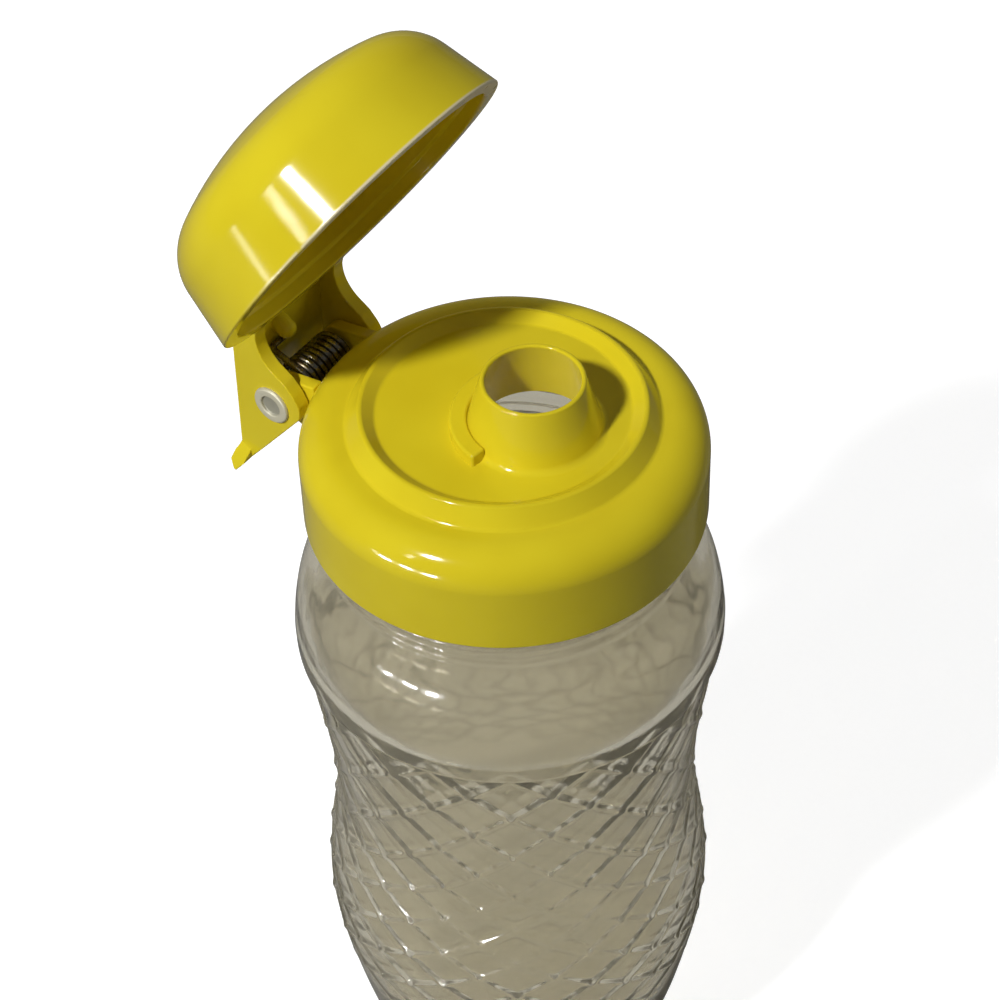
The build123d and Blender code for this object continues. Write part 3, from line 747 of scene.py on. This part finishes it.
def lid_cup():
    """The lid's domed shell, with a step inside its rim."""
    corner = corner_centre(CORNER_R)
    wall_end = degrees(DRAFT)
    dome_start = degrees(atan2(corner[1] - DOME_CENTRE, corner[0]))
    return turned([
        (LID_R, above(LID_GAP), 0.3),
        *arc(corner, CORNER_R, wall_end, dome_start, 14)[:-1],
        *arc((0, DOME_CENTRE), DOME_R, dome_start, 90, 12),
        *arc((0, DOME_CENTRE), DOME_R - LID_WALL, 90, dome_start, 12),
        *arc(corner, CORNER_R - LID_WALL, dome_start, wall_end, 12)[1:],
        (min(26.0, wall_line(LID_WALL, above(6.2))), above(6.2), 0),
        (26.0, above(3.1), 0.3), (26.5, above(2.6), 0.3), (26.5, above(LID_GAP), 0.35),
    ])


def thumb_pad():
    """The lever's ridged end, which widens behind the cheeks."""
    side = [
        (PAD_START, 0.18, 0), (*LEVER_END, 2.0), (*PAD_CREST, 1.2), (*PAD_TIP, 0.2),
        (*PAD_FOOT, 0.2), (16.4, -3.09, 0.5), (PAD_START, -2.1, 0),
    ]
    bm = slab(side, -PAD_HALF, PAD_HALF)
    for vert in bm.verts:
        flare = min(1, (vert.co.y - PIN_Y - PAD_START) / PAD_FLARE)
        vert.co.x *= (PAD_NECK + (PAD_HALF - PAD_NECK) * flare) / PAD_HALF
    soften(bm, 0.4)
    return bm


cheek_side = [
    (-11.6, 9.46, 0), *arc((-13.73, 2.96), 6.95, 62, 2, 10), (-6.75, 0.6, 1.5),
    (-6.0, -1.9, 3.0), (-4.7, -4.0, 2.2), (-2.6, -5.1, 2.0), (11.5, -3.65, 8.0),
    (*PAD_FOOT, 0.2), (*PAD_TIP, 0.2), (*PAD_CREST, 1.2), (*LEVER_END, 4.0),
    (*LEVER_TOP, 0), (-13.8, 9.46, 0),
]
cheek_places = (-CHEEK_IN - CHEEK_THICK, CHEEK_IN)
cheeks = [slab(cheek_side, x, x + CHEEK_THICK, 0.6) for x in cheek_places]

lever_side = [
    (*LEVER_TOP, 0), (*LEVER_END, 0), (16.2, -2.0, 0), (14.6, -1.9, 0), (-13.8, 14.69, 0),
]
lever = slab(lever_side, -LEVER_HALF, LEVER_HALF)

peg_low, peg_high = PIN_Z + PEG_LOW, PIN_Z + PEG_HIGH
peg = turned(
    [(0, peg_low, 0), (1.66, peg_low, 1.55), (1.75, peg_high, 0), (0, peg_high, 0)],
    centre=(PEG_X, PIN_Y + PEG_U), steps=40,
)

lid = gather(lid_cup(), *cheeks, lever, thumb_pad(), peg)
rotate(lid, -LID_OPEN, "X", (0, PIN_Y, PIN_Z))
lid_piece = settle(lid, "sprung_lid", "lid", lid_yellow)
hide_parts("flip_lid")


# ------------------------------------------------------------------ hinge rivet

half_rivet = [
    (0, DISH_FACE, 0), (DISH_R, DISH_FACE, 0.15), (DISH_R + 0.2, RIM_FACE, 0.2),
    (RIM_R, RIM_FACE, 0.42), (RIM_R, RIM_UNDER, 0.1), (BARREL_R, RIM_UNDER, 0.1),
]
far_half = [(radius, -along, rounding) for radius, along, rounding in half_rivet]
rivet = turned(far_half + half_rivet[::-1], steps=72)
rotate(rivet, 90, "Y")
bmesh.ops.translate(rivet, vec=(0, PIN_Y, PIN_Z), verts=rivet.verts[:])
rivet_piece = settle(rivet, "rolled_rivet", "lid", rivet_metal)
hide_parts("hinge_rivet")


# ------------------------------------------------------------------ torsion spring

def straight_length(leg_end):
    """Length of a straight leg from the coil to its end."""
    return sqrt(leg_end[0] ** 2 + leg_end[1] ** 2 - COIL_R**2)


def leave_angle(leg_end, side):
    """Angle about the pin where a straight leg leaves the coil, on one side or the other."""
    toward_end = degrees(atan2(leg_end[1], leg_end[0])) % 360
    return toward_end + side * degrees(atan2(straight_length(leg_end), COIL_R))


def wire_ring(angle, x):
    """The wire's round section, standing across the coil at an angle about the pin."""
    bm = bmesh.new()
    bmesh.ops.create_circle(bm, segments=14, radius=WIRE_R)
    # facing along Y, which is how the wire runs at the top of the coil
    rotate(bm, 90, "Y")
    rotate(bm, 90, "Z")
    bmesh.ops.translate(bm, vec=(0, 0, COIL_R), verts=bm.verts[:])
    rotate(bm, angle - 90, "X")
    bmesh.ops.translate(bm, vec=(x, PIN_Y, PIN_Z), verts=bm.verts[:])
    return bm


def lengthen(bm, loop, step):
    """Draws the wire on by a straight step from an open end."""
    loop, fresh = carried_on(bm, loop)
    bmesh.ops.translate(bm, vec=step, verts=fresh)
    return loop


def direction(angle):
    """Unit vector at an angle about the pin."""
    return Vector((0, cos(radians(angle)), sin(radians(angle))))


lid_angle = leave_angle(LID_LEG, 1) - LID_OPEN
cap_angle = leave_angle(CAP_LEG, -1)
coil_turns = COIL_TURNS + (cap_angle - lid_angle) / 360


def spring_coil():
    """The coil, from the lid's side to the cap's, with the cap's straight leg."""
    steps = round(COIL_SPIN * coil_turns)
    bm = wire_ring(lid_angle, -COIL_HALF)
    bmesh.ops.spin(
        bm, geom=bm.verts[:] + bm.edges[:], cent=(0, PIN_Y, PIN_Z), axis=(1, 0, 0),
        dvec=(2 * COIL_HALF / steps, 0, 0), angle=2 * pi * coil_turns, steps=steps,
    )
    cap_end = [e for e in bm.edges if e.is_boundary and e.verts[0].co.x > 0]
    leg = direction(cap_angle + 90) * straight_length(CAP_LEG)
    lengthen(bm, cap_end, leg + Vector((CAP_LEG_LEAN, 0, 0)))
    close_ends(bm)
    return bm


def spring_lid_leg():
    """The lid's leg: straight from the coil, round an elbow, then a hook along the pin."""
    run = direction(lid_angle - 90)
    leg = run * (straight_length(LID_LEG) - ELBOW_R) - Vector((LEG_LEAN, 0, 0))
    bm = wire_ring(lid_angle, -COIL_HALF)
    leg_end = lengthen(bm, bm.edges[:], leg)
    coil_edge = Vector((-COIL_HALF, PIN_Y, PIN_Z)) + direction(lid_angle) * COIL_R
    bent = bmesh.ops.spin(
        bm, geom=leg_end + list({v for e in leg_end for v in e.verts}),
        cent=coil_edge + leg + Vector((ELBOW_R, 0, 0)),
        axis=Vector((1, 0, 0)).cross(run), angle=-pi / 2, steps=8,
    )
    past_elbow = [e for e in bent["geom_last"] if isinstance(e, bmesh.types.BMEdge)]
    lengthen(bm, past_elbow, Vector((HOOK, 0, 0)))
    close_ends(bm)
    return bm


coil_piece = settle(spring_coil(), "spring_coil", None, spring_steel)
PIN_Y * MM
PIN_Z * MM
PIN_Y * MM
PIN_Z * MM
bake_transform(coil_piece)
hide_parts("hinge_spring")
leg_piece = settle(spring_lid_leg(), "spring_lid_leg", "lid", spring_steel)
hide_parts("hinge_spring")


# ------------------------------------------------------------------ studio, metres and watts

def seen_by(tree, **shares):
    """Sum of a share for each kind of ray, such as Camera=0.8."""
    path = tree.nodes.new("ShaderNodeLightPath")
    total = 0.0
    for kind, share in shares.items():
        total = Flow(path.outputs[f"Is {kind} Ray"]) * share + total
    return total


def grey(value):
    """A colour of one value."""
    return value.node("ShaderNodeCombineColor", {}, {0: value, 1: value, 2: value})


def studio_floor():
    """A pale paper floor: plain white to the camera, and it keeps the soft shadow."""
    made, shader, place = material(
        "floor_paper", Roughness=0.9, Specular_IOR_Level=0.0, Emission_Strength=1.0
    )
    tree = made.node_tree
    paper = (seen_by(tree, Camera=0.3) + 0.21) * (noise(place, 3, 2.0) * 0.06 + 0.97)
    drive(shader, "Base Color", grey(paper))
    x, y, _ = place.axes()
    far = apart(x, y).between(0.3, 1.3)
    glow = seen_by(tree, Camera=0.85, Transmission=0.38, Glossy=0.02)
    drive(shader, "Emission Color", grey(glow + far * seen_by(tree, Camera=0.17)))
    bm = bmesh.new()
    bmesh.ops.create_circle(bm, cap_ends=True, segments=64, radius=3.0)
    mesh = bpy.data.meshes.new("floor")
    bm.to_mesh(mesh)
    bm.free()
    mesh.materials.append(made)
    floor = bpy.data.objects.new("floor", mesh)
    bpy.context.scene.collection.objects.link(floor)


def lamp(name, place, aim, width, height, power, lights=True, glints=True):
    """A rectangular lamp facing a point, for shading, highlights or both."""
    data = bpy.data.lights.new(name, "AREA")
    data.shape, data.size, data.size_y, data.energy = "RECTANGLE", width, height, power
    lit = bpy.data.objects.new(name, data)
    lit.matrix_world = Matrix.Translation(place) @ (
        (Vector(aim) - Vector(place)).to_track_quat("-Z", "Y").to_matrix().to_4x4()
    )
    lit.visible_camera = False
    lit.visible_diffuse = lights
    lit.visible_glossy = lit.visible_transmission = glints
    bpy.context.scene.collection.objects.link(lit)


def studio_world():
    """White behind the part, and little light of its own on its surfaces."""
    world = bpy.data.worlds.new("studio")
    bpy.context.scene.world = world
    world.use_nodes = True
    backdrop = world.node_tree.nodes["Background"]
    backdrop.inputs["Color"].default_value = (1, 1, 1, 1)
    strength = seen_by(world.node_tree, Camera=0.94, Transmission=0.75, Glossy=0.03) + 0.06
    drive(backdrop, "Strength", strength)


studio_floor()
lamp("key", (-1.124, 0.169, 1.361), (0, 0, 0.16), 0.13, 0.13, 22.5)
lamp("second", (-1.364, 0.372, 1.008), (0, 0, 0.16), 0.055, 0.26, 0.9)
lamp("low_left", (-1.42, 0.806, 0.17), (0, 0, 0.18), 0.04, 0.2, 0.3)
for n, y in enumerate((0.676, 0.33, 0.01)):
    lamp(f"low_spot_{n}", (-1.55, y, 0.10), (0, 0, 0.16), 0.17, 0.10, 8, lights=False)
lamp("back", (0.9, 1.6, 0.35), (0, 0, 0.15), 2.0, 1.0, 13, glints=False)
lamp("right", (1.4, -1.0, 0.3), (0, 0, 0.12), 1.0, 1.0, 6, glints=False)
studio_world()
bpy.context.scene.view_settings.view_transform = "Standard"
